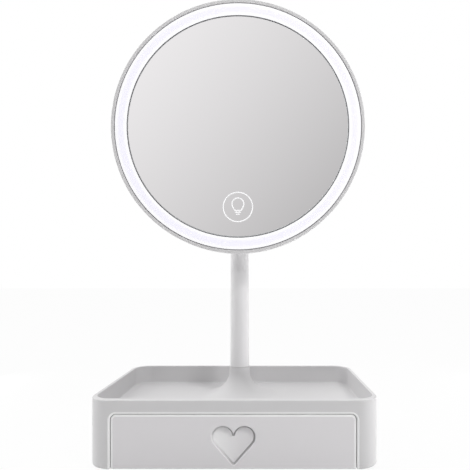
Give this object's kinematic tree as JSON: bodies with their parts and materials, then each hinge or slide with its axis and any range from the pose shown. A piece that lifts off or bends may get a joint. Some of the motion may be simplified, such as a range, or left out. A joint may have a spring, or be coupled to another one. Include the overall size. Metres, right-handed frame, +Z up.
{
  "type": "vanity mirror with drawer",
  "caption": "Round lighted tilting vanity mirror on a slim stem, standing in a shallow cosmetics tray with a sliding drawer under it.",
  "frame": {"origin": "on the table under the middle of the base, at the bottom of the feet", "axes": "+Z up, the mirror and the drawer front face -Y, +X to the right seen from the front"},
  "size_m": [0.2016, 0.118, 0.3524],
  "materials": {
    "white_plastic": "satin white moulded ABS",
    "inner_plastic": "plain white moulded ABS",
    "diffuser_plastic": "milky frosted acrylic",
    "mirror": "float glass silvered on the back",
    "screw_steel": "zinc-plated steel",
    "hinge_metal": "white powder-coated zinc casting",
    "washer_plastic": "natural nylon",
    "foot_rubber": "light grey rubber",
    "circuit_board": "white solder mask on glass-fibre board",
    "led_package": "phosphor-filled light-emitting package",
    "touch_foam": "conductive foam",
    "cell_pouch": "aluminium laminate pouch"
  },
  "bodies": {
    "base": {"base_housing": "white_plastic", "bottom_plate": "inner_plastic", "bottom_plate_screws": "screw_steel", "rubber_feet": "foot_rubber", "stem_tube": "white_plastic", "stem_washer": "screw_steel", "stem_screw": "screw_steel", "stem_knuckle": "hinge_metal"},
    "drawer": {"drawer_front": "white_plastic", "drawer_tray": "inner_plastic", "drawer_front_screws": "screw_steel"},
    "mirror_head": {"hinge_bracket": "hinge_metal", "hinge_bracket_screws": "screw_steel", "hinge_bolt": "screw_steel", "hinge_nut": "screw_steel", "hinge_washers": "washer_plastic", "rear_cover": "white_plastic", "front_ring": "white_plastic", "light_diffuser": "diffuser_plastic", "mirror_glass": "mirror", "glass_carrier": "inner_plastic", "led_board": "circuit_board", "led_chips": "led_package", "control_board": "circuit_board", "touch_pad": "touch_foam", "battery": "cell_pouch", "charge_socket": "screw_steel", "rear_cover_screws": "screw_steel"}
  },
  "joints": [
    {"name": "drawer_slide", "type": "slide", "parent": "base", "child": "drawer", "axis": [0, -1, 0], "range_m": [0, 0.085]},
    {"name": "mirror_tilt", "type": "hinge", "parent": "base", "child": "mirror_head", "pos_m": [0, 0.018, 0.2516], "axis": [-1, 0, 0], "range_deg": [-2, 85]}
  ]
}
